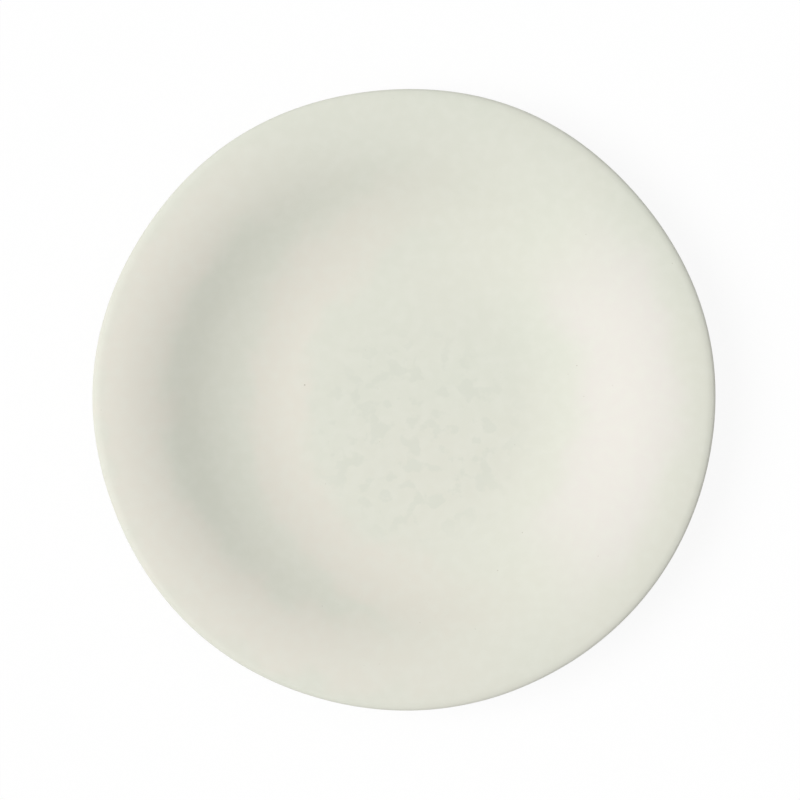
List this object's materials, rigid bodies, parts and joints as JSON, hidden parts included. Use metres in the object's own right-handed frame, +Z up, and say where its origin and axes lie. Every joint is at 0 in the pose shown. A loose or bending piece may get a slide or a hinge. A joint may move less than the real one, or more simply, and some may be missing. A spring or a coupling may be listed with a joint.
{
  "type": "coupe dinner plate",
  "caption": "Round coupe dinner plate of glazed stoneware with a flat floor, a soft curved wall, an almost level rounded edge and a bare foot ring.",
  "frame": {"origin": "on the table, at the centre of the foot ring's resting face", "axes": "+Z up along the axis the plate is turned about; the plate is round, so X and Y are free"},
  "size_m": [0.27, 0.27, 0.0292],
  "materials": {
    "stoneware": "matte",
    "glaze": "satin"
  },
  "bodies": {
    "root": {"stoneware_body": "stoneware", "outer_glaze": "glaze", "base_glaze": "glaze"}
  },
  "joints": []
}
